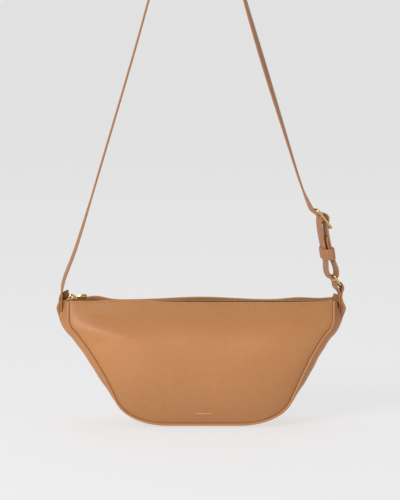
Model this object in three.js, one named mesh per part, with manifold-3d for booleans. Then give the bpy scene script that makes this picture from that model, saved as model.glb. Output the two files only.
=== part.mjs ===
// A small leather sling bag hanging by its shoulder strap.
// Millimetres, +Z up, X across the bag, -Y its front. The origin is where the strap hangs, under its top bend.
import * as THREE from 'three';
import { mergeVertices } from 'three/addons/utils/BufferGeometryUtils.js';
import Module from 'manifold-3d';

const wasm = await Module();
wasm.setup();

// ---------- Driving dimensions ----------
const GAP = 0.3;                  // between pieces that touch
const BAG_HEIGHT = 138.4;         // mouth line down to the bottom seam
const SEAM_HALF_TOP = 151;        // half width of a panel at the mouth
const SEAM_HALF_BASE = 40;        // half length of the straight bottom seam
const MOUTH_HALF_DEPTH = 16;      // half the bag's depth at the mouth
const BASE_HALF_DEPTH = 34;       // half the bag's depth at the base
const CROWN = 9;                  // how far a panel's middle stands proud
const LEATHER = 2;                // panel and gusset leather
const LINING = 0.8;
const GUSSET_BULGE_TOP = 16;      // how far the gusset stands out past the seam
const GUSSET_BULGE_WAIST = 10.5;
const GUSSET_BULGE_BASE = 4;
const GUSSET_FLAT = 0.8;          // share of the gusset's width that is flat
const EAR_RISE = 4;               // the gusset's ends stand up past the mouth
const PIPING_RADIUS = 1.5;

const STRAP_HALF_WIDTH = 7.5;
const STRAP_THICKNESS = 2.2;
const LOOP_LEATHER = 1.8;         // thinner leather of the adjuster and the ring tab
const LEFT_ANCHOR_X = -161;       // strap end in the left ear
const RIGHT_ANCHOR_X = 160.75;    // ring tab in the right ear
const SWING_Z = 3;                // height of the line on which the bag swings

const ZIP_HALF_LENGTH = 148;
const TOOTH_PITCH = 5;
const TOOTH_HEIGHT = 1.9;
const TAPE_THICKNESS = 0.8;
const SLIDER_X = -149.4;
const SLIDER_LENGTH = 11.5;

const HARDWARE_HALF_WIDTH = 11;   // buckle and ring, outside
const BAR = 2.6;                  // thickness of the brass bars
const STRAP_TOP = new THREE.Vector2(-5, 511);   // top bend of the strap, above the mouth line

const BUCKLE_TOP = new THREE.Vector2(131, 105);
const BUCKLE_BOTTOM = new THREE.Vector2(147, 84);
const BUCKLE_MIDDLE = BUCKLE_TOP.clone().lerp(BUCKLE_BOTTOM, 0.5);
const RING_TOP = new THREE.Vector2(150.5, 28.8);
const RING_BOTTOM = new THREE.Vector2(157.2, 17.9);
const KEEPER_CENTRE = new THREE.Vector2(145.6, 54.5);

const LEATHER_TAN = { color: 0xba8054, roughness: 0.5, metalness: 0 };
const LEATHER_STRAP = { color: 0xb07c58, roughness: 0.5, metalness: 0 };
const LINING_CLOTH = { color: 0x8c7458, roughness: 0.9, metalness: 0 };
const BOARD = { color: 0x6b5a48, roughness: 0.8, metalness: 0 };
const ZIP_TAPE = { color: 0x8a6a3c, roughness: 0.9, metalness: 0 };
const BRASS = { color: 0xd4aa50, roughness: 0.25, metalness: 1 };

// ---------- Helpers ----------
const bag = new THREE.Group();
bag.position.set(-STRAP_TOP.x, 0, -STRAP_TOP.y + STRAP_THICKNESS / 2);
const part = new THREE.Group();
part.add(bag);

function addPiece(name, geometry, finish) {
  const mesh = new THREE.Mesh(geometry, new THREE.MeshStandardMaterial(finish));
  mesh.name = name;
  bag.add(mesh);
}

function range(from, to, steps) {
  return Array.from({ length: steps + 1 }, (_, i) => from + (to - from) * i / steps);
}

function geometryFrom(points, triangles) {
  const geometry = new THREE.BufferGeometry();
  geometry.setAttribute('position', new THREE.Float32BufferAttribute(points.flatMap((p) => p.toArray()), 3));
  geometry.setIndex(triangles);
  return geometry;
}

function signedVolume(points, triangles) {
  let volume = 0;
  for (let i = 0; i < triangles.length; i += 3) {
    const [a, b, c] = [points[triangles[i]], points[triangles[i + 1]], points[triangles[i + 2]]];
    volume += a.dot(b.clone().cross(c));
  }
  return volume;
}

// A closed slab between two equal grids of points.
function slab(front, back) {
  const rows = front.length;
  const columns = front[0].length;
  const points = [...front.flat(), ...back.flat()];
  const at = (side, i, j) => side * rows * columns + i * columns + j;
  const triangles = [];
  const quad = (a, b, c, d) => triangles.push(a, b, c, a, c, d);
  for (let i = 0; i < rows - 1; i++) {
    for (let j = 0; j < columns - 1; j++) {
      quad(at(0, i, j), at(0, i, j + 1), at(0, i + 1, j + 1), at(0, i + 1, j));
      quad(at(1, i, j), at(1, i + 1, j), at(1, i + 1, j + 1), at(1, i, j + 1));
    }
    quad(at(0, i, 0), at(0, i + 1, 0), at(1, i + 1, 0), at(1, i, 0));
    quad(at(0, i + 1, columns - 1), at(0, i, columns - 1), at(1, i, columns - 1), at(1, i + 1, columns - 1));
  }
  for (let j = 0; j < columns - 1; j++) {
    quad(at(0, 0, j + 1), at(0, 0, j), at(1, 0, j), at(1, 0, j + 1));
    quad(at(0, rows - 1, j), at(0, rows - 1, j + 1), at(1, rows - 1, j + 1), at(1, rows - 1, j));
  }
  if (signedVolume(points, triangles) < 0) triangles.reverse();
  return geometryFrom(points, triangles);
}

// A sheet of even thickness that follows surface(u, v), between two distances along its normal.
function sheet(surface, us, vs, near, far) {
  const step = 1e-3;
  const offset = (distance) => us.map((u) => vs.map((v) => {
    const alongU = surface(u + step, v).sub(surface(u - step, v));
    const alongV = surface(u, v + step).sub(surface(u, v - step));
    return surface(u, v).addScaledVector(alongU.cross(alongV).normalize(), distance);
  }));
  return slab(offset(near), offset(far));
}

// A flat strap along a path in the XZ plane, with its width along Y.
function strapAlong(path, halfWidthAt, thickness) {
  const side = (sign) => path.map((p, i) => {
    const before = path[Math.max(i - 1, 0)];
    const after = path[Math.min(i + 1, path.length - 1)];
    const along = after.clone().sub(before).normalize();
    const x = p.x - along.y * sign * thickness / 2;
    const z = p.y + along.x * sign * thickness / 2;
    const y = halfWidthAt(p);
    return [new THREE.Vector3(x, -y, z), new THREE.Vector3(x, y, z)];
  });
  return slab(side(-1), side(1));
}

function smoothPath(knots, steps) {
  const curve = new THREE.CatmullRomCurve3(knots.map(([x, z]) => new THREE.Vector3(x, z, 0)), false, 'centripetal');
  return curve.getSpacedPoints(steps).map((p) => new THREE.Vector2(p.x, p.y));
}

function around(centre, radius, fromDegrees, toDegrees, steps) {
  return range(fromDegrees, toDegrees, steps).map((degrees) => {
    const angle = THREE.MathUtils.degToRad(degrees);
    return [centre.x + radius * Math.cos(angle), centre.y + radius * Math.sin(angle)];
  });
}

// Half width of a strap whose end is round about the swing line.
function roundEnd(p) {
  const below = SWING_Z - p.y;
  if (below <= 0) return STRAP_HALF_WIDTH;
  return Math.max(Math.sqrt(Math.max(STRAP_HALF_WIDTH ** 2 - below ** 2, 0)), 1);
}

function toSolid(geometry) {
  const bare = geometry.clone();
  bare.deleteAttribute('normal');
  bare.deleteAttribute('uv');
  const merged = mergeVertices(bare, 1e-4);
  return new wasm.Manifold(new wasm.Mesh({
    numProp: 3,
    vertProperties: new Float32Array(merged.attributes.position.array),
    triVerts: new Uint32Array(merged.index.array),
  }));
}

function fromSolid(solid) {
  const mesh = solid.getMesh();
  const geometry = new THREE.BufferGeometry();
  geometry.setAttribute('position', new THREE.BufferAttribute(new Float32Array(mesh.vertProperties), 3));
  geometry.setIndex(new THREE.BufferAttribute(new Uint32Array(mesh.triVerts), 1));
  return geometry;
}

function fuse(geometries) {
  return fromSolid(geometries.map(toSolid).reduce((a, b) => a.add(b)));
}

function cut(geometry, tool) {
  return fromSolid(toSolid(geometry).subtract(toSolid(tool)));
}

function block(x0, x1, y0, y1, z0, z1) {
  const box = new THREE.BoxGeometry(x1 - x0, y1 - y0, z1 - z0);
  return box.translate((x0 + x1) / 2, (y0 + y1) / 2, (z0 + z1) / 2);
}

function roundedRectangle(path, x0, x1, y0, y1, radius) {
  path.moveTo(x0 + radius, y0);
  path.lineTo(x1 - radius, y0);
  path.absarc(x1 - radius, y0 + radius, radius, -Math.PI / 2, 0);
  path.absarc(x1 - radius, y1 - radius, radius, 0, Math.PI / 2);
  path.absarc(x0 + radius, y1 - radius, radius, Math.PI / 2, Math.PI);
  path.absarc(x0 + radius, y0 + radius, radius, Math.PI, 1.5 * Math.PI);
  return path;
}

// A plate with windows, drawn with its length along the given XZ direction and its width along Y.
function windowedPlate(start, direction, outline, windows, thickness) {
  const shape = roundedRectangle(new THREE.Shape(), ...outline, 2.5);
  windows.forEach((box) => shape.holes.push(roundedRectangle(new THREE.Path(), ...box, 0.8)));
  const plate = new THREE.ExtrudeGeometry(shape, { depth: thickness, bevelEnabled: false, curveSegments: 3 });
  plate.translate(0, 0, -thickness / 2);
  const length = new THREE.Vector3(direction.x, 0, direction.y);
  const width = new THREE.Vector3(0, 1, 0);
  const place = new THREE.Matrix4().makeBasis(length, width, length.clone().cross(width));
  return plate.applyMatrix4(place.setPosition(start.x, 0, start.y));
}

// ---------- Shape of the bag ----------
// One half of the seam, from the mouth's right corner down to the middle of the bottom.
const seam = new THREE.Path();
seam.moveTo(SEAM_HALF_TOP, 0);
seam.lineTo(SEAM_HALF_TOP, -20);
seam.quadraticCurveTo(SEAM_HALF_TOP, -28, 143.5, -35);
seam.quadraticCurveTo(122.5, -60, 99.5, -111);
seam.quadraticCurveTo(93.5, -123.5, 80, -130);
seam.quadraticCurveTo(63, -BAG_HEIGHT, SEAM_HALF_BASE, -BAG_HEIGHT);
const SEAM_CURVE_SHARE = seam.getLength() / (seam.getLength() + SEAM_HALF_BASE);
seam.lineTo(0, -BAG_HEIGHT);

function halfDepth(z) {
  const down = THREE.MathUtils.clamp(-z / BAG_HEIGHT, 0, 1);
  return MOUTH_HALF_DEPTH + (BASE_HALF_DEPTH - MOUTH_HALF_DEPTH) * Math.sin(down * Math.PI / 2);
}

// side is -1 for the front and 1 for the back; row runs down the seam, across from -1 to 1.
function panelSurface(side) {
  return (row, across) => {
    const edge = seam.getPointAt(THREE.MathUtils.clamp(row, 0, 1) * SEAM_CURVE_SHARE);
    const crown = CROWN * (1 - across ** 2) * Math.sin(Math.PI * -edge.y / BAG_HEIGHT);
    return new THREE.Vector3(across * edge.x, side * (halfDepth(edge.y) + crown), edge.y);
  };
}

function seamPoint(s) {
  const p = seam.getPointAt(1 - Math.min(Math.abs(s), 1));
  return new THREE.Vector2(Math.sign(s) * p.x, p.y);
}

function seamOutward(s) {
  const along = seamPoint(Math.min(s + 2e-3, 1)).sub(seamPoint(Math.max(s - 2e-3, -1))).normalize();
  return new THREE.Vector2(along.y, -along.x);
}

function gussetBulge(z) {
  const shoulder = THREE.MathUtils.smoothstep(-z, 8, 30);
  const foot = THREE.MathUtils.smoothstep(-z, 75, 130);
  return GUSSET_BULGE_TOP - (GUSSET_BULGE_TOP - GUSSET_BULGE_WAIST) * shoulder
    - (GUSSET_BULGE_WAIST - GUSSET_BULGE_BASE) * foot;
}

// s runs along the band from the left end to the right, across from the front (-1) to the back (1).
function gussetSurface(s, across) {
  const p = seamPoint(s);
  const out = seamOutward(s);
  const bulge = gussetBulge(p.y);
  const rise = Math.min((1 - Math.abs(across)) / (1 - GUSSET_FLAT), 1);
  const ear = Math.max(Math.abs(s) - 0.95, 0) / 0.05 * EAR_RISE * rise;
  const y = across * (halfDepth(p.y) - GAP);
  return new THREE.Vector3(p.x + out.x * bulge * rise, y, p.y + out.y * bulge * rise + ear);
}

const GUSSET_BOTTOM = -BAG_HEIGHT - GUSSET_BULGE_BASE;

// ---------- Leather shell ----------
function buildShell() {
  const rows = range(0, 1, 18);
  const columns = range(-1, 1, 14);
  addPiece('front_panel', sheet(panelSurface(-1), rows, columns, 0, LEATHER), LEATHER_TAN);
  addPiece('back_panel', sheet(panelSurface(1), rows, columns, 0, -LEATHER), LEATHER_TAN);
  const across = [-1, -0.9, -GUSSET_FLAT, 0, GUSSET_FLAT, 0.9, 1];
  addPiece('gusset', sheet(gussetSurface, range(-1, 1, 64), across, 0, LEATHER), LEATHER_TAN);
  for (const [name, side] of [['front_piping', -1], ['back_piping', 1]]) {
    addPiece(name, piping(side), LEATHER_TAN);
  }
}

function piping(side) {
  const points = range(-0.995, 0.995, 60).map((s) => {
    const out = seamOutward(s).multiplyScalar(PIPING_RADIUS + 0.5);
    const p = seamPoint(s).add(out);
    return new THREE.Vector3(p.x, side * (halfDepth(p.y) + PIPING_RADIUS + 0.2), p.y);
  });
  const section = new THREE.Shape().absarc(0, 0, PIPING_RADIUS, 0, 2 * Math.PI);
  const extrudePath = new THREE.CatmullRomCurve3(points);
  return new THREE.ExtrudeGeometry(section, { steps: 60, curveSegments: 6, bevelEnabled: false, extrudePath });
}

// ---------- Lining, pocket and base board ----------
function buildInside() {
  const rows = range(0.05, 0.81, 12);
  const columns = range(-0.93, 0.93, 10);
  const near = GAP + 0.3;
  addPiece('lining_front', sheet(panelSurface(-1), rows, columns, -near, -near - LINING), LINING_CLOTH);
  addPiece('lining_back', sheet(panelSurface(1), rows, columns, near, near + LINING), LINING_CLOTH);
  const pocketNear = near + LINING + GAP;
  const pocket = sheet(panelSurface(1), range(0.2, 0.7, 6), range(-0.5, 0.5, 6), pocketNear, pocketNear + LINING);
  addPiece('inner_slip_pocket', pocket, LINING_CLOTH);
  const liningDepth = 5.2;
  const across = [-0.7, 0, 0.7];
  const gussetLining = sheet(gussetSurface, range(-0.82, 0.82, 60), across, liningDepth, liningDepth + LINING);
  addPiece('lining_gusset', gussetLining, LINING_CLOTH);
  const boardBottom = GUSSET_BOTTOM + LEATHER + GAP;
  addPiece('base_board', block(-40, 40, -23, 23, boardBottom, boardBottom + 1.6), BOARD);
}

// ---------- Zip ----------
function toothRow(side, shift) {
  const base = 1.4;
  const tip = -1.1;
  const shape = new THREE.Shape();
  shape.moveTo(-ZIP_HALF_LENGTH, base + 1.8);
  shape.lineTo(-ZIP_HALF_LENGTH, base);
  const eachWay = Math.floor(ZIP_HALF_LENGTH / TOOTH_PITCH) - 1;
  for (let k = -eachWay; k <= eachWay; k++) {
    const x = k * TOOTH_PITCH + shift;
    shape.lineTo(x - 0.9, base);
    shape.lineTo(x - 0.8, tip);
    shape.lineTo(x + 0.8, tip);
    shape.lineTo(x + 0.9, base);
  }
  shape.lineTo(ZIP_HALF_LENGTH, base);
  shape.lineTo(ZIP_HALF_LENGTH, base + 1.8);
  const row = new THREE.ExtrudeGeometry(shape, { depth: TOOTH_HEIGHT, bevelEnabled: false });
  row.translate(0, 0, -TOOTH_HEIGHT);
  if (side < 0) row.rotateZ(Math.PI);
  return row;
}

function buildZip() {
  const tapeTop = -TOOTH_HEIGHT - GAP;
  for (const [name, side] of [['front', -1], ['back', 1]]) {
    const edges = [side * 2, side * (MOUTH_HALF_DEPTH - 0.8)].sort((a, b) => a - b);
    const tape = block(-ZIP_HALF_LENGTH, ZIP_HALF_LENGTH, ...edges, tapeTop - TAPE_THICKNESS, tapeTop);
    addPiece(`zip_tape_${name}`, tape, ZIP_TAPE);
    addPiece(`zip_teeth_${name}`, toothRow(side, side < 0 ? 0 : TOOTH_PITCH / 2), BRASS);
  }
  const stopX = ZIP_HALF_LENGTH + GAP;
  addPiece('zip_end_stop', block(stopX, stopX + 2, -3, 3, tapeTop, 0), BRASS);
  buildSlider();
}

function buildSlider() {
  const half = SLIDER_LENGTH / 2;
  const plate = block(-half, half, -5.5, 5.5, GAP, 1.5);
  const flanges = [-1, 1].map((side) => {
    const [y0, y1] = [side * 4, side * 5.5].sort((a, b) => a - b);
    return block(-half, half, y0, y1, -TOOTH_HEIGHT + GAP, 0.5);
  });
  const bridge = cut(block(-4, 4, -1, 1, 1, 6.1), block(-2.4, 2.4, -2, 2, 1.5, 4.6));
  addPiece('zip_slider', fuse([plate, ...flanges, bridge]).translate(SLIDER_X, 0, 0), BRASS);

  const pinZ = 3;
  const pin = block(-0.6, 0.6, -2.5, 2.5, -0.6, 0.6);
  const cheeks = [-1, 1].map((side) => {
    const [y0, y1] = [side * 1.5, side * 2.5].sort((a, b) => a - b);
    return block(-0.8, 6, y0, y1, -0.8, 0.8);
  });
  const tag = block(5.2, 16.5, -2.4, 2.4, -1.6, 3.6);
  const slimmed = cut(tag, block(6.2, 20, -5, -0.7, -5, 5));
  const puller = fuse([pin, ...cheeks, cut(slimmed, block(6.2, 20, 0.7, 5, -5, 5))]);
  addPiece('zip_puller', puller.translate(SLIDER_X + 1, 0, pinZ), BRASS);
}

// ---------- Ears that hold the strap ----------
function ear(centreX, contentThickness) {
  const leather = 1.6;
  const reach = contentThickness / 2 + GAP + leather / 2;
  const bottom = -6.5;
  const path = [
    [centreX - reach, EAR_RISE],
    ...around(new THREE.Vector2(centreX, bottom), reach, 180, 360, 6),
    [centreX + reach, EAR_RISE],
  ];
  return strapAlong(path.map(([x, z]) => new THREE.Vector2(x, z)), () => 10.5, leather);
}

// ---------- Strap, buckle and ring ----------
function buildStrap() {
  const top = STRAP_TOP;
  const wrapRadius = BAR / 2 * Math.SQRT2 + GAP + LOOP_LEATHER / 2;
  const humpRadius = wrapRadius + LOOP_LEATHER / 2 + 2 * GAP + STRAP_THICKNESS / 2;
  const knots = [
    [LEFT_ANCHOR_X, SWING_Z - STRAP_HALF_WIDTH], [LEFT_ANCHOR_X, SWING_Z], [LEFT_ANCHOR_X, 10], [-158.8, 22], [-144.5, 60],
    [-108, 179], [-71, 304], [top.x - 35, top.y - 95], [top.x - 15, top.y - 28], [top.x, top.y],
    [top.x + 15, top.y - 28], [top.x + 35, top.y - 95], [55, 327], [94.5, 198], [117, 128],
    [124.5, 110.5], [127.6, 104.3], [131.5, 100.8], ...around(BUCKLE_MIDDLE, humpRadius, 125, -5, 6),
    [143.5, 86], [144.7, 75], [147.2, 63], [148.1, 59.5],
  ];
  const strap = strapAlong(smoothPath(knots, 200), roundEnd, STRAP_THICKNESS);
  const prongSlot = block(140, 148, -2, 2, 83, 98);
  addPiece('shoulder_strap', cut(strap, prongSlot), LEATHER_STRAP);

  const wrap = around(BUCKLE_MIDDLE, wrapRadius, -20, 180, 8);
  const adjusterKnots = [
    ...wrap, [136.5, 84], [140.1, 64], [142, 53], [143.8, 44], [144.3, 35], [147, 27.5], [151.5, 24.6],
    [155.6, 28], [155.8, 35], [152.3, 45], [148.3, 54], [144.6, 63], [142.8, 73],
  ];
  const adjuster = strapAlong(smoothPath(adjusterKnots, 70), () => STRAP_HALF_WIDTH, LOOP_LEATHER);
  addPiece('adjuster_strap', cut(adjuster, block(133, 146, -2, 2, 89, 101)), LEATHER_STRAP);

  const layer = (LOOP_LEATHER + GAP) / 2;
  const tabLoop = around(RING_BOTTOM, wrapRadius, 213, 33, 8);
  const low = SWING_Z - STRAP_HALF_WIDTH;
  const tabKnots = [
    [RIGHT_ANCHOR_X - layer, low], [RIGHT_ANCHOR_X - layer, 7.5], [157.8, 11.3], [155, 14.8],
    ...tabLoop, [162.4, 14.5], [RIGHT_ANCHOR_X + layer, 9], [RIGHT_ANCHOR_X + layer, low],
  ];
  addPiece('ring_tab', strapAlong(smoothPath(tabKnots, 48), roundEnd, LOOP_LEATHER), LEATHER_STRAP);
  buildHardware();
}

function buildHardware() {
  const side = HARDWARE_HALF_WIDTH;
  const window = STRAP_HALF_WIDTH + 1;
  const buckleLength = BUCKLE_TOP.distanceTo(BUCKLE_BOTTOM);
  const direction = BUCKLE_BOTTOM.clone().sub(BUCKLE_TOP).normalize();
  const windows = [
    [BAR / 2, buckleLength / 2 - BAR / 2, -window, window],
    [buckleLength / 2 + BAR / 2, buckleLength - BAR / 2, -window, window],
  ];
  const outline = [-BAR / 2, buckleLength + BAR / 2, -side, side];
  addPiece('buckle_frame', windowedPlate(BUCKLE_TOP, direction, outline, windows, BAR), BRASS);
  addPiece('buckle_prong', prong(direction, buckleLength / 2), BRASS);

  const ringLength = RING_TOP.distanceTo(RING_BOTTOM);
  const ringDirection = RING_BOTTOM.clone().sub(RING_TOP).normalize();
  const ringWindow = [BAR / 2, ringLength - BAR / 2, -window, window];
  const ringOutline = [-BAR / 2, ringLength + BAR / 2, -side, side];
  addPiece('strap_ring', windowedPlate(RING_TOP, ringDirection, ringOutline, [ringWindow], BAR), BRASS);

  const keeperInside = [-6.3, 6.3, -STRAP_HALF_WIDTH - 0.6, STRAP_HALF_WIDTH + 0.6];
  const keeperOutside = [-8, 8, -STRAP_HALF_WIDTH - 2.6, STRAP_HALF_WIDTH + 2.6];
  const acrossStraps = new THREE.Vector2(0.99, 0.141);
  const keeper = windowedPlate(KEEPER_CENTRE, acrossStraps, keeperOutside, [keeperInside], 13);
  addPiece('keeper_loop', keeper, LEATHER_STRAP);
}

// The prong's eye turns on the buckle's middle bar, and its tip lies on the lower bar.
function prong(direction, reach) {
  const eyeOutside = 3.2;
  const eye = new THREE.Shape().absarc(0, 0, eyeOutside, 0, 2 * Math.PI);
  eye.holes.push(new THREE.Path().absarc(0, 0, BAR / 2 * Math.SQRT2 + GAP, 0, 2 * Math.PI, true));
  const round = new THREE.ExtrudeGeometry(eye, { depth: 3, bevelEnabled: false, curveSegments: 6 });
  const lift = BAR / 2 + GAP;
  const arm = new THREE.Shape();
  arm.moveTo(2.6, 0.2);
  arm.lineTo(reach - 2, lift);
  arm.lineTo(reach + 2.5, lift);
  arm.lineTo(reach + 2.5, lift + 1.2);
  arm.lineTo(2, 2.4);
  const rod = new THREE.ExtrudeGeometry(arm, { depth: 3, bevelEnabled: false });
  const whole = fuse([round, rod]).translate(0, 0, -1.5);
  const along = new THREE.Vector3(direction.x, 0, direction.y);
  const outward = new THREE.Vector3(-direction.y, 0, direction.x);
  const place = new THREE.Matrix4().makeBasis(along, outward, along.clone().cross(outward));
  return whole.applyMatrix4(place.setPosition(BUCKLE_MIDDLE.x, 0, BUCKLE_MIDDLE.y));
}

buildShell();
buildInside();
buildZip();
addPiece('left_ear', ear(LEFT_ANCHOR_X, STRAP_THICKNESS), LEATHER_TAN);
addPiece('right_ear', ear(RIGHT_ANCHOR_X, 2 * LOOP_LEATHER + GAP), LEATHER_TAN);
buildStrap();

export default part;
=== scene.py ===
import math

import bpy
import numpy as np
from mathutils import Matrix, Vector


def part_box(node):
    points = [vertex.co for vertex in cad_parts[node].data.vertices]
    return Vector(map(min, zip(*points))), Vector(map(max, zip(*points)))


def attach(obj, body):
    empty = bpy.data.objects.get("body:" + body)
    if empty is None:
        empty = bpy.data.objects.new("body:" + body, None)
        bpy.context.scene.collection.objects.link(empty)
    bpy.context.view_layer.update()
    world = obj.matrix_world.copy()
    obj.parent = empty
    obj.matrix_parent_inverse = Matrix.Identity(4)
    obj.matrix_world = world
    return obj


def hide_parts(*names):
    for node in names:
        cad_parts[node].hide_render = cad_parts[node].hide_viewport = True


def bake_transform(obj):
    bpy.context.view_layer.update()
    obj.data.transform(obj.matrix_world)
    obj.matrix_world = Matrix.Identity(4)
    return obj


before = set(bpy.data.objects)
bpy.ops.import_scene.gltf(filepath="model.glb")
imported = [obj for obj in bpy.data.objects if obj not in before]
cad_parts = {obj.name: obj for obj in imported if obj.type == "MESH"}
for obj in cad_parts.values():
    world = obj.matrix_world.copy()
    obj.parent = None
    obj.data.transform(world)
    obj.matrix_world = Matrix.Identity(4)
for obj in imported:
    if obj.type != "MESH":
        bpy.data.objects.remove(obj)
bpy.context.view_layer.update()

# ---------- Sizes, in metres; the outer ones come from the frame ----------
MM = 0.001
SIDEWAYS = (0, 1.0, 0)
panel_low, panel_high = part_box("front_panel")

CENTRE_X = (panel_low.x + panel_high.x) / 2
MOUTH_Z = panel_high.z
SEAM_HALF_TOP = (panel_high.x - panel_low.x) / 2
SEAM_HALF_BASE = 40 * MM
BAG_HEIGHT = 138.4 * MM
BAND_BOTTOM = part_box("gusset")[0].z
FLOOR_Z = BAND_BOTTOM - 0.4 * MM
MOUTH_HALF_DEPTH = -panel_high.y
BASE_HALF_DEPTH = 34 * MM

LEATHER = 1.8 * MM
STRAP_HALF_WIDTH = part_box("shoulder_strap")[1].y
STRAP_THICKNESS = 2.2 * MM
LOOP_LEATHER = 1.9 * MM


def spot(x, z, y=0.0):
    """A point given in millimetres from the middle of the bag's mouth."""
    return np.array([CENTRE_X + x * MM, y * MM, MOUTH_Z + z * MM])


# ---------- Meshes ----------
def new_piece(name, points, faces, material, smooth=True):
    mesh = bpy.data.meshes.new(name)
    mesh.from_pydata([tuple(p) for p in points], [], faces)
    mesh.validate()
    piece = bpy.data.objects.new(name, mesh)
    bpy.context.scene.collection.objects.link(piece)
    mesh.materials.append(material)
    if smooth:
        mesh.shade_smooth()
    return piece


def belongs(piece, body, slot, *nodes):
    """Tie a piece to its body and hide the nodes it stands for; slot is not used."""
    if body is not None:
        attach(piece, body)
    if nodes:
        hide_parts(*nodes)


def grid_normals(grid):
    along = np.gradient(grid, axis=0)
    across = np.gradient(grid, axis=1)
    normal = np.cross(along, across)
    return normal / np.maximum(np.linalg.norm(normal, axis=2, keepdims=True), 1e-12)


def thick_sheet(outer, inner):
    """Points and faces of a closed slab between two equal grids."""
    rows, columns = outer.shape[:2]
    points = np.concatenate([outer.reshape(-1, 3), inner.reshape(-1, 3)])
    shift = rows * columns

    def at(i, j):
        return i * columns + j

    faces = []
    for i in range(rows - 1):
        for j in range(columns - 1):
            quad = (at(i, j), at(i + 1, j), at(i + 1, j + 1), at(i, j + 1))
            faces.append(quad)
            faces.append(tuple(k + shift for k in reversed(quad)))
    rim = [at(0, j) for j in range(columns)]
    rim += [at(i, columns - 1) for i in range(1, rows)]
    rim += [at(rows - 1, j) for j in range(columns - 2, -1, -1)]
    rim += [at(i, 0) for i in range(rows - 2, 0, -1)]
    for a, b in zip(rim, rim[1:] + rim[:1]):
        faces.append((a, b, b + shift, a + shift))
    return points, faces


def tube_faces(rings, corners, closed=False, first=0):
    """Faces of a tube whose points lie ring by ring; its ends are capped unless it closes on itself."""
    faces = []
    for i in range(rings if closed else rings - 1):
        here, after = i * corners, (i + 1) % rings * corners
        for j in range(corners):
            beside = (j + 1) % corners
            faces.append((here + j, here + beside, after + beside, after + j))
    if not closed:
        faces.append(tuple(reversed(range(corners))))
        faces.append(tuple((rings - 1) * corners + j for j in range(corners)))
    return [tuple(first + k for k in face) for face in faces]


def sweep(path, across, section, closed=False):
    """Points and faces of a section (pairs: along the width, along the thickness) carried down a path."""
    if closed:
        along = np.roll(path, -1, 0) - np.roll(path, 1, 0)
    else:
        along = np.gradient(path, axis=0)
    along /= np.linalg.norm(along, axis=1, keepdims=True)
    width = across - along * np.sum(across * along, axis=1, keepdims=True)
    width /= np.linalg.norm(width, axis=1, keepdims=True)
    depth = np.cross(along, width)
    section = np.asarray(section)
    if section.ndim == 2:
        section = np.repeat(section[None], len(path), 0)
    points = path[:, None] + width[:, None] * section[..., :1] + depth[:, None] * section[..., 1:]
    return points.reshape(-1, 3), tube_faces(*points.shape[:2], closed)


def all_along(path, direction=SIDEWAYS):
    """The same direction at every point of a path."""
    return np.repeat([direction], len(path), 0)


def round_section(radius, corners=10):
    angles = np.linspace(0, 2 * math.pi, corners, endpoint=False)
    return np.stack([radius * np.cos(angles), radius * np.sin(angles)], 1)


def strap_section(half_width, thickness):
    """A flat strap with rounded edges, a shallow crease beside each edge and a slightly full middle."""
    crease_depth = 0.12 * MM
    crease_inset = 1.9 * MM
    crease_width = 0.9 * MM
    shoulder = 0.05 * MM
    fullness = 0.12 * MM
    half = thickness / 2
    edge = [(half_width - half * (1 - math.cos(a)), half * math.sin(a)) for a in np.radians([0, 35, 65])]
    face = [
        (half_width - half, half),
        (half_width - crease_inset, half - crease_depth),
        (half_width - crease_inset - crease_width, half + shoulder),
        (0, half + fullness),
    ]
    quarter = edge + face
    left = [(-a, b) for a, b in reversed(quarter[:-1])]
    upper = quarter + left
    lower = [(a, -b) for a, b in reversed(upper[1:-1])]
    return np.array(upper + lower)


def smooth_path(knots, spacing):
    """A centripetal Catmull-Rom curve through the knots, with even steps."""
    knots = np.asarray(knots, float)
    padded = np.concatenate([[2 * knots[0] - knots[1]], knots, [2 * knots[-1] - knots[-2]]])
    out = []
    for a, b, c, d in zip(padded, padded[1:], padded[2:], padded[3:]):
        t1 = np.linalg.norm(b - a) ** 0.5
        t2 = t1 + np.linalg.norm(c - b) ** 0.5
        t3 = t2 + np.linalg.norm(d - c) ** 0.5
        for t in np.linspace(t1, t2, 24, endpoint=False):
            ab = a + (b - a) * t / t1
            bc = b + (c - b) * (t - t1) / (t2 - t1)
            cd = c + (d - c) * (t - t2) / (t3 - t2)
            abc = ab + (bc - ab) * t / t2
            bcd = bc + (cd - bc) * (t - t1) / (t3 - t1)
            out.append(abc + (bcd - abc) * (t - t1) / (t2 - t1))
    out.append(knots[-1])
    return even_steps(np.array(out), spacing)


def even_steps(points, spacing):
    """The same line, cut into equal steps of about this spacing."""
    lengths = np.concatenate([[0], np.cumsum(np.linalg.norm(np.diff(points, axis=0), axis=1))])
    count = max(int(round(lengths[-1] / spacing)), 2)
    targets = np.linspace(0, lengths[-1], count + 1)
    return np.stack([np.interp(targets, lengths, points[:, k]) for k in range(points.shape[1])], 1)


def arc(centre, radius, start, end, steps):
    """Points round a centre, from one angle to another in degrees."""
    angles = np.radians(np.linspace(start, end, steps + 1))
    return [(centre[0] + radius * math.cos(a), centre[1] + radius * math.sin(a)) for a in angles]


def rounded_rectangle(low, high, radius, spacing):
    """Evenly spaced points round a rectangle with rounded corners."""
    left, bottom = low[0] + radius, low[1] + radius
    right, top = high[0] - radius, high[1] - radius
    points = []
    for k, centre in enumerate(((right, top), (left, top), (left, bottom), (right, bottom))):
        points += arc(centre, radius, 90 * k, 90 * k + 90, 6)
    return even_steps(np.array(points + points[:1]), spacing)[:-1]


def smoothstep(x, low, high):
    t = np.clip((np.asarray(x, float) - low) / (high - low), 0, 1)
    return t * t * (3 - 2 * t)


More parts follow.
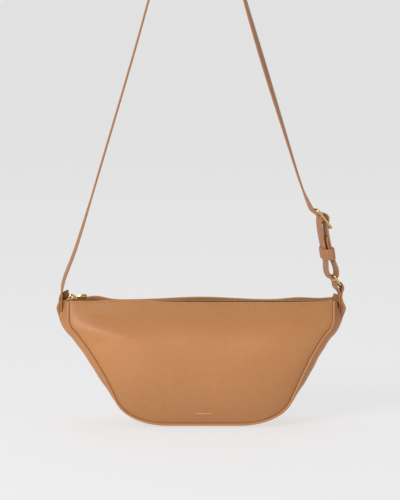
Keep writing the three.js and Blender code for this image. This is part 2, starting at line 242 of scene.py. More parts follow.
# ---------- Materials ----------
class Nodes:
    """A short way to write a node tree."""

    def __init__(self, name):
        self.material = bpy.data.materials.new(name)
        self.material.use_nodes = True
        self.tree = self.material.node_tree
        self.shader = self.tree.nodes["Principled BSDF"]
        self.place = self.add("ShaderNodeTexCoord").outputs["Object"]

    def add(self, kind, **settings):
        node = self.tree.nodes.new(kind)
        for key, value in settings.items():
            setattr(node, key, value)
        return node

    def link(self, source, target):
        self.tree.links.new(source, target)

    def noise(self, scale, detail, roughness):
        node = self.add("ShaderNodeTexNoise")
        node.inputs["Scale"].default_value = scale
        node.inputs["Detail"].default_value = detail
        node.inputs["Roughness"].default_value = roughness
        self.link(self.place, node.inputs["Vector"])
        return node.outputs["Fac"]

    def cells(self, scale):
        node = self.add("ShaderNodeTexVoronoi", feature="SMOOTH_F1")
        node.inputs["Scale"].default_value = scale
        self.link(self.place, node.inputs["Vector"])
        return node.outputs["Distance"]

    def convexity(self):
        """Above a half where the mesh is convex, below it where it is hollow."""
        return self.add("ShaderNodeNewGeometry").outputs["Pointiness"]

    def spread(self, value, low, high, out_low, out_high):
        node = self.add("ShaderNodeMapRange")
        for key, number in zip(("From Min", "From Max", "To Min", "To Max"), (low, high, out_low, out_high)):
            node.inputs[key].default_value = number
        self.link(value, node.inputs["Value"])
        return node.outputs["Result"]

    def ramp(self, value, stops):
        node = self.add("ShaderNodeValToRGB")
        elements = node.color_ramp.elements
        while len(elements) < len(stops):
            elements.new(0.5)
        for element, (position, colour) in zip(elements, stops):
            element.position = position
            element.color = (*colour, 1)
        self.link(value, node.inputs["Fac"])
        return node.outputs["Color"]

    def height_ramp(self, stops):
        """A number that follows the height below the mouth, through stops of (millimetres, value)."""
        split = self.add("ShaderNodeSeparateXYZ")
        self.link(self.place, split.inputs["Vector"])
        low, high = stops[0][0], stops[-1][0]
        place = self.spread(split.outputs["Z"], MOUTH_Z + low * MM, MOUTH_Z + high * MM, 0, 1)
        return self.ramp(place, [((z - low) / (high - low), (value, value, value)) for z, value in stops])

    def mix(self, factor, a, b):
        node = self.add("ShaderNodeMix", data_type="RGBA")
        for socket, value in ((node.inputs[0], factor), (node.inputs[6], a), (node.inputs[7], b)):
            if isinstance(value, tuple):
                socket.default_value = (*value, 1)
            else:
                self.link(value, socket)
        return node.outputs[2]

    def maths(self, operation, a, b):
        node = self.add("ShaderNodeMath", operation=operation)
        self.link(a, node.inputs[0])
        self.link(b, node.inputs[1])
        return node.outputs[0]

    def bump(self, height, distance, strength=1.0, below=None):
        node = self.add("ShaderNodeBump")
        node.inputs["Distance"].default_value = distance
        node.inputs["Strength"].default_value = strength
        self.link(height, node.inputs["Height"])
        if below is not None:
            self.link(below, node.inputs["Normal"])
        return node.outputs["Normal"]

    def set(self, **values):
        for key, value in values.items():
            socket = self.shader.inputs[key.replace("_", " ")]
            if isinstance(value, bpy.types.NodeSocket):
                self.link(value, socket)
            elif isinstance(value, tuple):
                socket.default_value = (*value, 1)
            else:
                socket.default_value = value


def scaled(colour, factor):
    return tuple(min(c * factor, 1.0) for c in colour)


BLACK = (0.0, 0.0, 0.0)
# Painted shade by height, as (millimetres from the mouth, brightness): palest over the fullest part, darker
# towards the mouth and the base.
PAINTED_SHADE_BY_HEIGHT = ((-140, 0.80), (-105, 0.86), (-75, 0.93), (-48, 0.99), (-25, 0.93), (-6, 0.82), (0, 0.86))


def leather(name, base, grain=1.0, roughness=0.46, height_shade=False):
    """Pebbled leather with pores and fine creases, paler on its worn edges, with painted shade in its
    hollows, and with painted shade by height where height_shade is set.
    """
    n = Nodes(name)
    broad = n.noise(9, 3, 0.6)
    mottle = n.noise(140, 4, 0.6)
    colour = n.ramp(broad, [(0.3, scaled(base, 0.96)), (0.55, base), (0.75, scaled(base, 1.04))])
    colour = n.mix(n.spread(mottle, 0.3, 0.7, 0, 0.35), colour, scaled(base, 0.8))
    if height_shade:
        # Painted shade: the leather is darkened towards the mouth and the base, by height.
        colour = n.mix(n.height_ramp(PAINTED_SHADE_BY_HEIGHT), BLACK, colour)
    wear_and_hollow_shade = n.convexity()
    colour = n.mix(n.spread(wear_and_hollow_shade, 0.52, 0.6, 0, 0.3), colour, scaled(base, 1.35))
    # Painted shade: the hollows of the mesh are darkened, standing in for occlusion.
    colour = n.mix(n.spread(wear_and_hollow_shade, 0.47, 0.4, 0, 0.55), colour, scaled(base, 0.45))
    pebble = n.cells(1150)
    pores = n.noise(2600, 2, 0.5)
    creases = n.noise(210, 5, 0.65)
    normal = n.bump(pebble, 0.09 * MM * grain)
    normal = n.bump(pores, 0.05 * MM * grain, 0.7, normal)
    normal = n.bump(creases, 0.22 * MM * grain, 0.8, normal)
    uneven = n.spread(mottle, 0.2, 0.8, roughness - 0.06, roughness + 0.08)
    n.set(Base_Color=colour, Normal=normal, Roughness=uneven, Specular_IOR_Level=0.35)
    n.set(Coat_Weight=0.04, Coat_Roughness=0.35, Sheen_Weight=0.06, Sheen_Roughness=0.4)
    return n.material


def cloth(name, base, threads):
    """Plain woven cloth, its threads as bands across each axis."""
    n = Nodes(name)
    waves = []
    for axis in ("X", "Y", "Z"):
        wave = n.add("ShaderNodeTexWave", bands_direction=axis)
        wave.inputs["Scale"].default_value = threads / 6
        wave.inputs["Distortion"].default_value = 0.6
        n.link(n.place, wave.inputs["Vector"])
        waves.append(wave.outputs["Fac"])
    weave = n.maths("MAXIMUM", n.maths("MULTIPLY", waves[0], waves[1]), waves[2])
    n.set(Base_Color=n.mix(weave, scaled(base, 0.7), base), Normal=n.bump(weave, 0.15 * MM))
    n.set(Roughness=0.85, Sheen_Weight=0.3, Sheen_Roughness=0.5)
    return n.material


def brass(name, base, roughness, dirt):
    """Polished metal with smears, fine scratches and dirt in its hollows."""
    n = Nodes(name)
    smear = n.noise(160, 4, 0.6)
    scratches = n.noise(900, 3, 0.7)
    colour = n.mix(n.spread(smear, 0.45, 0.7, 0, dirt), base, scaled(base, 0.62))
    colour = n.mix(n.spread(n.convexity(), 0.48, 0.42, 0, 0.6), colour, scaled(base, 0.4))
    uneven = n.spread(smear, 0.3, 0.8, roughness - 0.05, roughness + 0.12)
    n.set(Base_Color=colour, Metallic=1.0, Roughness=uneven, Normal=n.bump(scratches, 0.01 * MM, 0.5))
    return n.material


def board(name, base):
    n = Nodes(name)
    fibres = n.noise(500, 5, 0.7)
    n.set(Base_Color=n.mix(fibres, scaled(base, 0.7), base), Roughness=0.8, Normal=n.bump(fibres, 0.1 * MM))
    return n.material


def make_materials():
    return {
        "body": leather("tan_leather", (0.51, 0.221, 0.079), height_shade=True),
        "piping": leather("piping_leather", (0.46, 0.2, 0.074), 0.8, 0.42),
        "strap": leather("strap_leather", (0.39, 0.168, 0.07), 0.8, 0.45),
        "tape": cloth("zip_tape_cloth", (0.26, 0.155, 0.06), 3000),
        "lining": cloth("lining_cloth", (0.30, 0.20, 0.12), 1400),
        "brass": brass("polished_brass", (0.78, 0.53, 0.2), 0.15, 0.4),
        "teeth": brass("antique_brass", (0.50, 0.37, 0.15), 0.3, 0.5),
        "foil": brass("gold_foil", (0.80, 0.55, 0.30), 0.45, 0.2),
        "board": board("fibre_board", (0.15, 0.11, 0.08)),
    }


# ---------- Shape of the bag ----------
# A panel's fullness: its crown in the middle, its roll out from the seam, and its tuck into the seam.
CROWN = 6 * MM
CROWN_FADE = 42 * MM
ROLL = 9 * MM
ROLL_WIDTH = 18 * MM
TUCK = 1.1 * MM
TUCK_WIDTH = 2.2 * MM
# The fold that runs down and inwards from each upper corner of a panel.
FOLD_HEIGHT = 2.8 * MM
FOLD_WIDTH = 17 * MM
FOLD_DROP = 12 * MM
FOLD_SLOPE = 0.45
# The soft top edge of the back panel (side 1) and the front one (side -1): its level in millimetres,
# then its bumps as (height in millimetres, place and width as fractions of half the mouth).
EDGE_LEVEL = {1: -3.0, -1: -1.9}
EDGE_BUMPS = {1: ((3.2, 0, 0.33), (2.6, 0.76, 0.14), (4.6, -0.82, 0.1)), -1: ((3.0, -0.57, 0.22),)}

# How far the middle of the band stands out past the seam.
BULGE_TOP = 16 * MM
BULGE_WAIST = 10.5 * MM
BULGE_BASE = 4 * MM
# The band's section where it is pinched into an ear: fraction of the way from its middle to its edge,
# then how far that lies across the bag and how far it stands out.
EAR_SECTION = (
    (0, 0, 1.0), (0.3, 0.43, 1.0), (0.36, 0.46, 0.9), (0.44, 0.3, 0.6), (0.52, 0.28, 0.3),
    (0.6, 0.5, 0.37), (0.67, 0.64, 0.42), (0.85, 0.85, 0.27), (1, 1, 0),
)
# Across the band, from front to back: how far its end rises above the mouth, in millimetres.
EAR_LIFTS = (
    (-1, -0.5), (-0.55, 0), (-0.3, 0.5), (0, 1.2), (0.3, 4),
    (0.4, 8), (0.52, 11), (0.65, 10), (0.85, 5.5), (1, 0.5),
)
EAR_REACH = 20 * MM
RIGHT_EAR = 0.6
# The full lower half of the bag hangs a little towards +X.
HANG = 3.2 * MM


def bezier(a, b, c, steps):
    t = np.linspace(0, 1, steps, endpoint=False)[:, None]
    a, b, c = (np.array(p, float) for p in (a, b, c))
    return (1 - t) ** 2 * a + 2 * t * (1 - t) * b + t ** 2 * c


def seam_curve():
    """Right half of the seam in millimetres (x, z), from the mouth down to where the bottom runs straight."""
    half = SEAM_HALF_TOP / MM
    low = -BAG_HEIGHT / MM
    base = SEAM_HALF_BASE / MM
    pieces = [
        np.array([[half, 0.0]]),
        bezier((half, -20), (half, -28), (143.5, -35), 40),
        bezier((143.5, -35), (122.5, -60), (99.5, -111), 80),
        bezier((99.5, -111), (93.5, -123.5), (80, -130), 40),
        bezier((80, -130), (63, low), (base, low), 40),
        np.array([[base, low]]),
    ]
    return np.concatenate(pieces)


SEAM_STEP = 0.25
SEAM = even_steps(seam_curve(), SEAM_STEP) * MM
SEAM_LENGTH = SEAM_STEP * MM * (len(SEAM) - 1)
FULL_HALF = SEAM_LENGTH + SEAM_HALF_BASE


def seam_at(distance):
    """Point (x, z) on the right half of the seam, this far down from the mouth."""
    steps = np.linspace(0, SEAM_LENGTH, len(SEAM))
    x = np.interp(distance, steps, SEAM[:, 0])
    z = np.interp(distance, steps, SEAM[:, 1])
    return x - np.maximum(np.asarray(distance) - SEAM_LENGTH, 0), z


def whole_seam(steps):
    """The seam from the left ear round to the right: distances from its middle, and its points (x, z)."""
    s = np.linspace(-FULL_HALF, FULL_HALF, steps)
    x, z = seam_at(FULL_HALF - np.abs(s))
    return s, np.stack([np.sign(s) * x, z], 1)


def outward(line):
    """Unit directions in the (x, z) plane, square to the seam and away from the bag."""
    along = np.gradient(line, axis=0)
    along /= np.linalg.norm(along, axis=1, keepdims=True)
    return np.stack([along[:, 1], -along[:, 0]], 1)


def half_depth(z):
    """Half the depth of the bag at its seams, which grows from the mouth down to the base."""
    growth = np.sin(np.clip(-z / BAG_HEIGHT, 0, 1) * math.pi / 2)
    return MOUTH_HALF_DEPTH + (BASE_HALF_DEPTH - MOUTH_HALF_DEPTH) * growth


def hung(points):
    points = np.array(points)
    points[..., 0] += HANG * smoothstep(MOUTH_Z - points[..., 2], 20 * MM, 110 * MM)
    return points


def waviness(x, side):
    """How the soft top edge of a panel rises and dips."""
    u = x / SEAM_HALF_TOP
    bumps = sum(height * np.exp(-((u - place) / width) ** 2) for height, place, width in EDGE_BUMPS[side])
    return (EDGE_LEVEL[side] + bumps) * MM


def soft_dents(x, z, side):
    """Shallow unevenness of a filled soft panel, small puckers near its sides, and its corner folds."""
    u = x / SEAM_HALF_TOP
    w = z / BAG_HEIGHT
    broad = 0.9 * np.sin(3.1 * u + 1.7 * w + side) * np.sin(6.9 * w + 0.6 * side)
    fine = 0.45 * np.sin(7.3 * u - 3.9 * w) * np.cos(5.1 * w + 2.2 * u * side)
    puckers = 0.5 * np.exp(-((np.abs(u) - 0.8) / 0.12) ** 2) * np.sin(26 * (w + 0.35 * np.abs(u)))
    from_fold = (z + FOLD_DROP + FOLD_SLOPE * (SEAM_HALF_TOP - np.abs(x))) / FOLD_WIDTH
    fold = FOLD_HEIGHT * np.exp(-from_fold ** 2) * smoothstep(np.abs(u), 0.15, 0.6) * np.where(u < 0, 1, 0.8)
    return (broad + fine + puckers) * MM + fold


def panel_grid(side, rows=170, columns=240):
    """The panel's outer face: row 0 at the mouth; columns from -X to +X, closer together at the seams."""
    edge_x, edge_z = seam_at(np.linspace(0, SEAM_LENGTH, rows))
    turn = math.radians(82.8)
    across = np.sin(np.linspace(-turn, turn, columns))[None, :] / math.sin(turn)
    x = across * edge_x[:, None]
    z = np.repeat(edge_z[:, None], columns, 1)
    from_side = (1 - np.abs(across)) * edge_x[:, None]
    from_base = z + BAG_HEIGHT
    from_edge = np.clip(np.minimum(from_side, from_base), 0, None)
    crown = CROWN * (1 - across ** 2) * np.sin(np.pi * np.clip(-z / BAG_HEIGHT, 0, 1))
    crown *= np.clip(from_base / CROWN_FADE, 0, 1) ** 0.55
    roll = ROLL * (1 - np.exp(-from_side / ROLL_WIDTH)) * (1 - np.exp(-from_base / ROLL_WIDTH))
    roll *= smoothstep(-z, 8 * MM, 42 * MM)
    tuck = TUCK * (1 - np.exp(-from_edge / TUCK_WIDTH))
    dents = soft_dents(x, z, side) * np.clip(from_edge / (25 * MM), 0, 1) * smoothstep(-z, 0, 30 * MM)
    y = half_depth(z) + 0.35 * LEATHER + crown + roll + tuck + dents
    lift = waviness(x, side) * (1 - smoothstep(-z, 0, 30 * MM)) * (1 - across ** 8)
    return hung(np.stack([CENTRE_X + x, side * y, MOUTH_Z + z + lift], 2))


def gusset_bulge(z, from_top):
    narrowing = (BULGE_TOP - BULGE_WAIST) * smoothstep(-z, 8 * MM, 30 * MM)
    flattening = (BULGE_WAIST - BULGE_BASE) * smoothstep(-z, 75 * MM, 130 * MM)
    pulled_in = 1 - 0.19 * (1 - smoothstep(from_top, 0, 10 * MM))
    return (BULGE_TOP - narrowing - flattening) * pulled_in


def gusset_grid(lengthwise=420, crosswise=96):
    """The band's outer face, from the left ear round the bottom to the right ear; columns front to back."""
    s, line = whole_seam(lengthwise)
    out = outward(line)
    z = line[:, 1]
    v = np.linspace(-1, 1, crosswise)
    from_middle = np.abs(v)
    from_top = FULL_HALF - np.abs(s)
    pinch = 1 - smoothstep(from_top, 4 * MM, 27 * MM)[:, None]
    fraction, ear_spread, ear_rise = zip(*EAR_SECTION)
    round_rise = (1 - from_middle ** 3.6) ** 0.8
    rise = round_rise + (np.interp(from_middle, fraction, ear_rise) - round_rise) * pinch
    spread = from_middle + (np.interp(from_middle, fraction, ear_spread) - from_middle) * pinch
    ear_size = np.where(s < 0, 1, RIGHT_EAR) * np.clip(1 - from_top / EAR_REACH, 0, 1) ** 2
    ear = ear_size[:, None] * np.interp(v, *zip(*EAR_LIFTS)) * MM
    stand = gusset_bulge(z, from_top)[:, None] * rise
    ripple = 0.35 * MM * np.sin(s[:, None] * 260 + 2 * v) * (1 - from_middle)
    above_base = z[:, None] > -0.9 * BAG_HEIGHT
    px = line[:, :1] + out[:, :1] * (stand + ripple)
    py = np.sign(v) * spread * (half_depth(z)[:, None] - 0.2 * MM)
    pz = line[:, 1:] + out[:, 1:] * (stand + ripple * above_base) + ear
    pz = np.maximum(pz, BAND_BOTTOM - MOUTH_Z)
    return hung(np.stack([CENTRE_X + px, py, MOUTH_Z + pz], 2))


# ---------- Bag body ----------
def build_panel(side, name, node):
    outer = panel_grid(side)
    normals = grid_normals(outer)
    if np.sum(normals[..., 1]) * side < 0:
        normals = -normals
    points, faces = thick_sheet(outer, outer - normals * LEATHER)
    if side < 0:
        faces = [tuple(reversed(f)) for f in faces]
    belongs(new_piece(name, points, faces, MATERIALS["body"]), "bag", "leather_body", node)
    build_turned_edge(outer[0], side, name)


def build_turned_edge(edge, side, name):
    """The panel's top edge is turned over: a soft bead along the mouth."""
    bead = edge + np.array([0, -side * 0.5 * MM, 0.15 * MM])
    section = round_section(1.15 * MM) * np.array([1.1, 1.0])
    points, faces = sweep(bead, all_along(bead), section)
    belongs(new_piece(name + "_top_edge", points, faces, MATERIALS["piping"]), "bag", "leather_body")


def build_foil_bar():
    """A plain foil bar low on the front panel."""
    middle = spot(3, -126)
    half_length = 9 * MM
    foil = np.array([0, 0.2 * MM, 0])
    sunk = np.array([0, 0.08 * MM, 0])
    outer = panel_grid(-1)
    row = int(np.argmin(np.abs(outer[:, 0, 2] - middle[2])))
    near = np.abs(outer[row, :, 0] - middle[0]) < half_length
    face = outer[row:row + 2, near] - sunk
    points, faces = thick_sheet(face, face + foil)
    belongs(new_piece("foil_bar", points, faces, MATERIALS["foil"]), "bag", "zip_brass")


def build_gusset():
    outer = gusset_grid()
    normals = grid_normals(outer)
    underside = normals[len(outer) // 2, outer.shape[1] // 3]
    if underside[2] > 0:
        normals = -normals
    points, faces = thick_sheet(outer, outer - normals * LEATHER)
    nodes = ("gusset", "left_ear", "right_ear")
    belongs(new_piece("gusset_leather", points, faces, MATERIALS["body"]), "bag", "leather_body", *nodes)


def build_piping(side, name, node):
    """A round cord of leather just outside the seam, a little proud of it."""
    outside = 1.6 * MM
    proud = 0.5 * MM
    _, seam = whole_seam(900)
    line = seam + outward(seam) * outside
    y = side * (half_depth(seam[:, 1]) + proud)
    path = even_steps(hung(np.stack([CENTRE_X + line[:, 0], y, MOUTH_Z + line[:, 1]], 1)), 1.2 * MM)
    points, faces = sweep(path, all_along(path), round_section(1.55 * MM, 12))
    belongs(new_piece(name, points, faces, MATERIALS["piping"]), "bag", "leather_piping", node)


# ---------- Strap ----------
# Places in millimetres (x, z) from the middle of the mouth; arcs go round the bars with the leather.
BUCKLE_TOP = np.array([131.0, 105.0])
BUCKLE_BOTTOM = np.array([147.0, 84.0])
BUCKLE_MIDDLE = (BUCKLE_TOP + BUCKLE_BOTTOM) / 2
RING_TOP = np.array([150.5, 28.8])
RING_BOTTOM = np.array([157.2, 17.9])
BAR = 2.6
BAR_GAP = 0.3
HALF_LAYER = 0.9
LAYER_GAP = 0.6
WRAP_RADIUS = BAR / 2 * math.sqrt(2) + BAR_GAP + HALF_LAYER
HUMP_RADIUS = WRAP_RADIUS + HALF_LAYER + LAYER_GAP + STRAP_THICKNESS / MM / 2
TAB_INNER = 159.7
TAB_OUTER = 161.8

STRAP_KNOTS = [
    (-161, -13), (-161, 3), (-161, 10), (-158.8, 22), (-144.5, 60), (-108, 179), (-71, 304), (-40, 416),
    (-20, 483), (-5, 511), (10, 483), (30, 416), (55, 327), (94.5, 198), (117, 128), (124.5, 110.5),
    (127.6, 104.3), (131.5, 100.8), *arc(BUCKLE_MIDDLE, HUMP_RADIUS, 125, -5, 6),
    (143.5, 86), (144.7, 75), (147.2, 63), (148.1, 59.5),
]
ADJUSTER_KNOTS = [
    *arc(BUCKLE_MIDDLE, WRAP_RADIUS, -20, 180, 8), (136.5, 84), (140.1, 64), (142, 53), (143.8, 44),
    (144.3, 35), (147, 27.5), (151.5, 24.6), (155.6, 28), (155.8, 35), (152.3, 45), (148.3, 54),
    (144.6, 63), (142.8, 73),
]
TAB_KNOTS = [
    (TAB_INNER, -13), (TAB_INNER, 3), (TAB_INNER, 7.5), (157.8, 11.3), (155, 14.8),
    *arc(RING_BOTTOM, WRAP_RADIUS, 213, 33, 8),
    (162.4, 14.5), (TAB_OUTER, 9), (TAB_OUTER, 3), (TAB_OUTER, -13),
]

RIGHT_TURN = math.tan(math.radians(17))
LEFT_TURN = math.tan(math.radians(10))
# The long strap twists a little on its way down to the buckle: radians, and fractions of its length.
TWIST = 0.32
TWIST_PLACE = 0.77
TWIST_WIDTH = 0.11


def route(knots):
    flat = smooth_path(np.array(knots) * MM, 1.2 * MM)
    return np.stack([CENTRE_X + flat[:, 0], np.zeros(len(flat)), MOUTH_Z + flat[:, 1]], 1)


def leaned(points):
    """The hanging leather and brass are turned a little, so that their left faces show from the front."""
    points = np.array(points)
    z = points[:, 2] - MOUTH_Z
    right = RIGHT_TURN * smoothstep(z, 0, 18 * MM) * (1 - smoothstep(z, 100 * MM, 135 * MM))
    left = LEFT_TURN * smoothstep(z, 0, 20 * MM) * (1 - smoothstep(z, 40 * MM, 160 * MM))
    points[:, 0] -= points[:, 1] * np.where(points[:, 0] > CENTRE_X, right, left)
    return points


def build_leather_strap(name, knots, node, thickness, body=None, twist=0.0):
    """A strap of leather through the knots, tied to the given body; with no body given, its transform is
    baked into its mesh.
    """
    path = route(knots)
    along = np.linspace(0, 1, len(path))
    angle = twist * np.exp(-((along - TWIST_PLACE) / TWIST_WIDTH) ** 2)
    across = np.stack([np.sin(angle), np.cos(angle), np.zeros(len(path))], 1)
    points, faces = sweep(path, across, strap_section(STRAP_HALF_WIDTH, thickness))
    piece = new_piece(name, leaned(points), faces, MATERIALS["strap"])
    belongs(piece, body, "leather_strap", node)
    if body is None:
        bend_at_ear(piece)


def bend_at_ear(piece):
    """The piece's transform is baked into its mesh."""
    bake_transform(piece)


def build_straps():
    build_leather_strap("shoulder_strap_leather", STRAP_KNOTS, "shoulder_strap", STRAP_THICKNESS, twist=TWIST)
    build_leather_strap("adjuster_leather", ADJUSTER_KNOTS, "adjuster_strap", LOOP_LEATHER, "strap")
    build_leather_strap("ring_tab_leather", TAB_KNOTS, "ring_tab", LOOP_LEATHER)


def build_keeper():
    """A band of leather bent round the straps, lying nearly square to them."""
    lean = 0.141
    tilt = 0.14
    half_length = 6.5 * MM
    half_x = 5.9 * MM
    half_y = STRAP_HALF_WIDTH + 1.6 * MM
    out = np.array([0.99, 0, lean])
    down = np.array([lean, 0, -0.99])
    ring = rounded_rectangle((-half_x, -half_y), (half_x, half_y), 3.6 * MM, 0.8 * MM)
    path = spot(145.6, 54.5) + ring[:, :1] * out + ring[:, 1:] * np.array([0, 1.0, tilt])
    points, faces = sweep(path, all_along(path, down), strap_section(half_length, 1.7 * MM), closed=True)
    piece = new_piece("keeper_leather", leaned(points), faces, MATERIALS["strap"])
    belongs(piece, "keeper", "leather_strap", "keeper_loop")


# ---------- Brass ----------
WIRE_RADIUS = 1.35 * MM
WIRE_HALF_WIDTH = 9.7 * MM
WIRE_CORNER = 2.2 * MM


def way(start, end):
    """The direction from one bar to another."""
    step = (end - start) / np.linalg.norm(end - start)
    return np.array([step[0], 0, step[1]])


def wire_loop(start, end):
    """Points and faces of a rounded rectangle of wire, from one bar to another."""
    along = way(start, end)
    high = (np.linalg.norm(end - start) * MM, WIRE_HALF_WIDTH)
    ring = rounded_rectangle((0, -WIRE_HALF_WIDTH), high, WIRE_CORNER, 0.6 * MM)
    path = spot(*start) + ring[:, :1] * along + ring[:, 1:] * np.array(SIDEWAYS)
    square_to_loop = all_along(path, np.cross(along, SIDEWAYS))
    return sweep(path, square_to_loop, round_section(WIRE_RADIUS, 14), closed=True)


def build_ring():
    points, faces = wire_loop(RING_TOP, RING_BOTTOM)
    piece = new_piece("strap_ring_wire", leaned(points), faces, MATERIALS["brass"])
    belongs(piece, "ring", "brass", "strap_ring")


def build_buckle():
    """A loop of wire with a middle bar."""
    points, faces = wire_loop(BUCKLE_TOP, BUCKLE_BOTTOM)
    half = WIRE_HALF_WIDTH / MM
    bar = np.linspace(spot(*BUCKLE_MIDDLE, -half), spot(*BUCKLE_MIDDLE, half), 12)
    square_to_bar = all_along(bar, way(BUCKLE_TOP, BUCKLE_BOTTOM))
    bar_points, bar_faces = sweep(bar, square_to_bar, round_section(1.2 * MM, 12))
    faces += [tuple(k + len(points) for k in face) for face in bar_faces]
    points = np.concatenate([points, bar_points])
    piece = new_piece("buckle_wire", leaned(points), faces, MATERIALS["brass"])
    belongs(piece, "strap", "brass", "buckle_frame")


def build_prong():
    """A tapering wire, curled round the middle bar and lying across the lower one."""
    along = way(BUCKLE_TOP, BUCKLE_BOTTOM)
    outside = np.array([-along[2], 0, along[0]])
    reach = np.linalg.norm(BUCKLE_BOTTOM - BUCKLE_MIDDLE)
    curl = arc((0, 0), 3.0, -200, 40, 12)
    arm = [(3.5, 2.7), (7, 2.6), (10.5, 2.7)]
    tip = [(reach + 1.2, 2.75), (reach + 2.6, 2.0)]
    knots = [spot(*BUCKLE_MIDDLE) + (along * a + outside * b) * MM for a, b in curl + arm + tip]
    path = smooth_path(knots, 0.5 * MM)
    rings = np.stack([round_section(radius) for radius in np.linspace(1.15, 0.85, len(path)) * MM])
    points, faces = sweep(path, all_along(path), rings)
    piece = new_piece("buckle_prong_wire", leaned(points), faces, MATERIALS["brass"])
    belongs(piece, "prong", "brass", "buckle_prong")


# ---------- Zip ----------
TOOTH_PITCH = 2.5 * MM
# A tooth from above, in millimetres: a narrow head that meets the other row, on a foot that grips the tape.
TOOTH_OUTLINE = (
    (-0.589, 2.9), (-0.589, 1.1), (-0.341, 0.6), (-0.527, -0.2), (-0.31, -1.1),
    (0.31, -1.1), (0.527, -0.2), (0.341, 0.6), (0.589, 1.1), (0.589, 2.9),
)
TOOTH_MIDDLE = 0.9
# The puller, in millimetres (along, across or up) from its pin.
LINK_OUTLINE = (
    (0, 2.2), (-0.5, 1.5), (-0.5, -1.5), (0, -2.2), (3.0, -2.4),
    (5.6, -2.0), (6.4, 0), (5.6, 2.0), (3.0, 2.4),
)
TAG_OUTLINE = (
    (5.6, 0.8), (7.5, 2.6), (11.5, 3.4), (15.6, 3.2), (16.8, 0.5), (15.6, -2.0), (11.5, -2.4), (7.5, -1.7),
)


def rounded_block(low, high):
    x0, y0, z0 = low
    x1, y1, z1 = high
    points = [(x, y, z) for x in (x0, x1) for y in (y0, y1) for z in (z0, z1)]
    faces = [(0, 1, 3, 2), (4, 6, 7, 5), (0, 4, 5, 1), (2, 3, 7, 6), (0, 2, 6, 4), (1, 5, 7, 3)]
    piece = new_piece("block", points, faces, MATERIALS["brass"])
    soften = piece.modifiers.new("edges", "BEVEL")
    soften.width = 0.5 * MM
    soften.segments = 3
    return piece


def joined(name, pieces):
    """One object from several, with their modifiers applied."""
    bpy.context.view_layer.update()
    depsgraph = bpy.context.evaluated_depsgraph_get()
    points, faces = [], []
    for piece in pieces:
        mesh = bpy.data.meshes.new_from_object(piece.evaluated_get(depsgraph))
        faces += [tuple(len(points) + k for k in polygon.vertices) for polygon in mesh.polygons]
        points += [v.co.copy() for v in mesh.vertices]
    material = pieces[0].data.materials[0]
    for piece in pieces:
        bpy.data.objects.remove(piece)
    return new_piece(name, points, faces, material)


def build_zip():
    for side, name in ((-1, "front"), (1, "back")):
        build_tape(side, name)
        build_teeth(side, name)


def build_tape(side, name):
    """Half of the zip's tape, with a slight wave in it."""
    low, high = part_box("zip_tape_front")
    lengthwise = np.linspace(low.x, high.x, 160)
    crosswise = np.linspace(1.2 * MM, MOUTH_HALF_DEPTH - 0.3 * MM, 16)
    x, y = np.meshgrid(lengthwise, crosswise, indexing="ij")
    wave = 0.3 * MM * np.sin((x - CENTRE_X) * 50) * y / MOUTH_HALF_DEPTH
    upper = np.stack([x, side * y, high.z - 0.1 * MM + wave], 2)
    lower = upper - np.array([0, 0, 0.6 * MM])
    points, faces = thick_sheet(upper, lower) if side > 0 else thick_sheet(lower, upper)
    piece = new_piece("zip_tape_cloth_" + name, points, faces, MATERIALS["tape"])
    belongs(piece, "bag", "zip_tape", "zip_tape_" + name)


def build_teeth(side, name):
    """A row of cast teeth with drafted edges; the back row stands half a step on from the front one."""
    low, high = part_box("zip_teeth_front")
    levels = ((low.z - 0.2 * MM, 0.82), (low.z + 0.35 * MM, 1.0), (high.z - 0.35 * MM, 1.0), (high.z, 0.78))
    first = low.x + TOOTH_PITCH * (0.5 if side < 0 else 1)
    places = first + TOOTH_PITCH * np.arange(int((high.x - low.x) / TOOTH_PITCH))
    points, faces = [], []
    for x in places[places <= high.x - 1 * MM]:
        faces += tube_faces(len(levels), len(TOOTH_OUTLINE), first=len(points))
        for z, size in levels:
            for a, b in TOOTH_OUTLINE:
                y = side * (TOOTH_MIDDLE + (b - TOOTH_MIDDLE) * size) * MM
                points.append((x + a * size * MM, y, z))
    piece = new_piece("zip_tooth_row_" + name, points, faces, MATERIALS["teeth"], smooth=False)
    belongs(piece, "bag", "zip_brass", "zip_teeth_" + name)


def build_slider():
    """The slider's plate, its two side walls, and the arch that holds the puller."""
    low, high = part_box("zip_slider")
    middle = (low.x + high.x) / 2
    half_width = 5.4 * MM
    wall = 1.2 * MM
    wall_low, wall_high = MOUTH_Z - 1.5 * MM, MOUTH_Z + 1.2 * MM
    plate_low, plate_high = MOUTH_Z + 0.3 * MM, MOUTH_Z + 1.7 * MM
    blocks = [rounded_block((low.x, -half_width, plate_low), (high.x, half_width, plate_high))]
    for y in (-half_width, half_width - wall):
        blocks.append(rounded_block((low.x, y, wall_low), (high.x, y + wall, wall_high)))
    arch_reach, arch_rise = 3.4 * MM, 4.3 * MM
    angles = np.radians(np.linspace(180, 0, 15))
    arch = np.zeros((len(angles), 3))
    arch[:, 0] = middle + arch_reach * np.cos(angles)
    arch[:, 2] = wall_high + arch_rise * np.clip(np.sin(angles), 0, 1) ** 0.8
    points, faces = sweep(arch, all_along(arch), round_section(1.25 * MM))
    blocks.append(new_piece("slider_arch", points, faces, MATERIALS["brass"]))
    belongs(joined("zip_slider_body", blocks), "slider", "brass", "zip_slider")


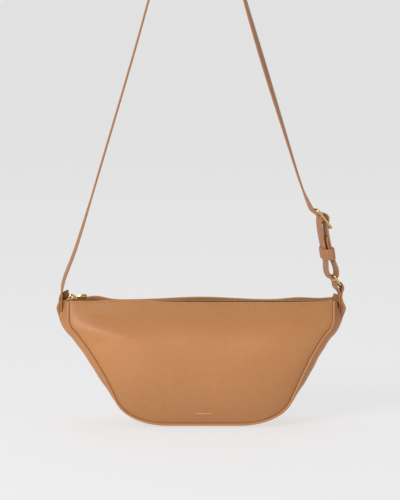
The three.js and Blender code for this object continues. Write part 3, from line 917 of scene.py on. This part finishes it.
def build_puller():
    """A wire link through the slider's arch, and a flat tag with softened faces."""
    pin = spot(-148.4, 3)
    link = np.array([pin + np.array([a, b, 0]) * MM for a, b in LINK_OUTLINE + LINK_OUTLINE[:1]])
    path = smooth_path(link, 0.35 * MM)[:-1]
    points, faces = sweep(path, all_along(path, (0, 0, 1.0)), round_section(0.6 * MM, 8), closed=True)
    parts = [new_piece("puller_link", points, faces, MATERIALS["brass"])]

    outline = smooth_path(np.array(TAG_OUTLINE + TAG_OUTLINE[:1]) * MM, 0.4 * MM)[:-1]
    middle = outline.mean(0)
    layers = ((-0.75, 0.9), (-0.45, 1.0), (0.45, 1.0), (0.75, 0.9))
    points = []
    for y, size in layers:
        for a, b in middle + (outline - middle) * size:
            points.append(pin + np.array([a, y * MM, b]))
    faces = tube_faces(len(layers), len(outline))
    parts.append(new_piece("puller_tag", points, faces, MATERIALS["brass"]))
    belongs(joined("zip_puller_tag", parts), "puller", "brass", "zip_puller")


def dress_inner_nodes():
    finishes = {
        "lining_front": "lining", "lining_back": "lining", "lining_gusset": "lining",
        "inner_slip_pocket": "lining", "base_board": "board", "zip_end_stop": "teeth",
    }
    for node, finish in finishes.items():
        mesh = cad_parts[node].data
        mesh.materials.clear()
        mesh.materials.append(MATERIALS[finish])


# ---------- Studio ----------
def area_light(name, place, size, power, colour=(1, 1, 1)):
    """A soft light that faces the middle of the bag's mouth."""
    light = bpy.data.lights.new(name, "AREA")
    light.shape = "RECTANGLE"
    light.size, light.size_y = size
    light.energy = power
    light.color = colour
    lamp = bpy.data.objects.new(name, light)
    bpy.context.scene.collection.objects.link(lamp)
    x, y, above_mouth = place
    lamp.location = (x, y, MOUTH_Z + above_mouth)
    look = Vector((CENTRE_X, 0, MOUTH_Z)) - lamp.location
    lamp.rotation_euler = look.to_track_quat("-Z", "Y").to_euler()


def build_backdrop():
    """A sweep of white paper: flat under the bag, then bent up into a wall far behind it."""
    n = Nodes("paper_sweep")
    n.set(Base_Color=(0.17, 0.18, 0.185), Roughness=0.9)
    n.set(Emission_Color=(0.80, 0.785, 0.78), Emission_Strength=0.83)
    front, flat, bend, wall_top, half_width = -3.0, 3.4, 1.2, 4.5, 4.0
    profile = [(front, 0.0), (flat, 0.0)]
    profile += arc((flat, bend), bend, -85, 0, 17)
    profile += [(flat + bend, wall_top)]
    points = [(x, y, FLOOR_Z + z) for y, z in profile for x in (-half_width, half_width)]
    faces = [(2 * i, 2 * i + 1, 2 * i + 3, 2 * i + 2) for i in range(len(profile) - 1)]
    new_piece("sweep", points, faces, n.material)


def build_lights():
    area_light("key_light", (-1.2, -1.7, 0.85), (0.9, 0.9), 36, (1, 0.985, 0.96))
    area_light("fill_light", (1.6, -1.3, 0.6), (1.4, 1.4), 5)
    area_light("top_light", (0.1, 0.4, 1.8), (1.8, 1.2), 7)
    world = bpy.data.worlds.new("studio")
    bpy.context.scene.world = world
    world.use_nodes = True
    sky = world.node_tree.nodes["Background"]
    sky.inputs["Color"].default_value = (0.95, 0.97, 1, 1)
    sky.inputs["Strength"].default_value = 0.35
    bpy.context.scene.view_settings.view_transform = "Standard"


def build_camera():
    """A little above the bag, and far enough away for a nearly parallel view."""
    distance = 2.4
    elevation = math.radians(5.5)
    view_height = 577 * MM
    data = bpy.data.cameras.new("camera")
    data.sensor_width = 36
    data.lens = data.sensor_width * distance / view_height
    camera = bpy.data.objects.new("camera", data)
    bpy.context.scene.collection.objects.link(camera)
    target = Vector(spot(-1.2, 57.7))
    camera.location = target + Vector((0, -math.cos(elevation), math.sin(elevation))) * distance
    camera.rotation_euler = (target - camera.location).to_track_quat("-Z", "Y").to_euler()
    bpy.context.scene.camera = camera


MATERIALS = make_materials()
build_camera()
build_backdrop()
build_lights()
build_panel(-1, "front_panel_leather", "front_panel")
build_panel(1, "back_panel_leather", "back_panel")
build_foil_bar()
build_gusset()
build_piping(-1, "front_piping_leather", "front_piping")
build_piping(1, "back_piping_leather", "back_piping")
build_straps()
build_keeper()
build_ring()
build_buckle()
build_prong()
build_zip()
build_slider()
build_puller()
dress_inner_nodes()
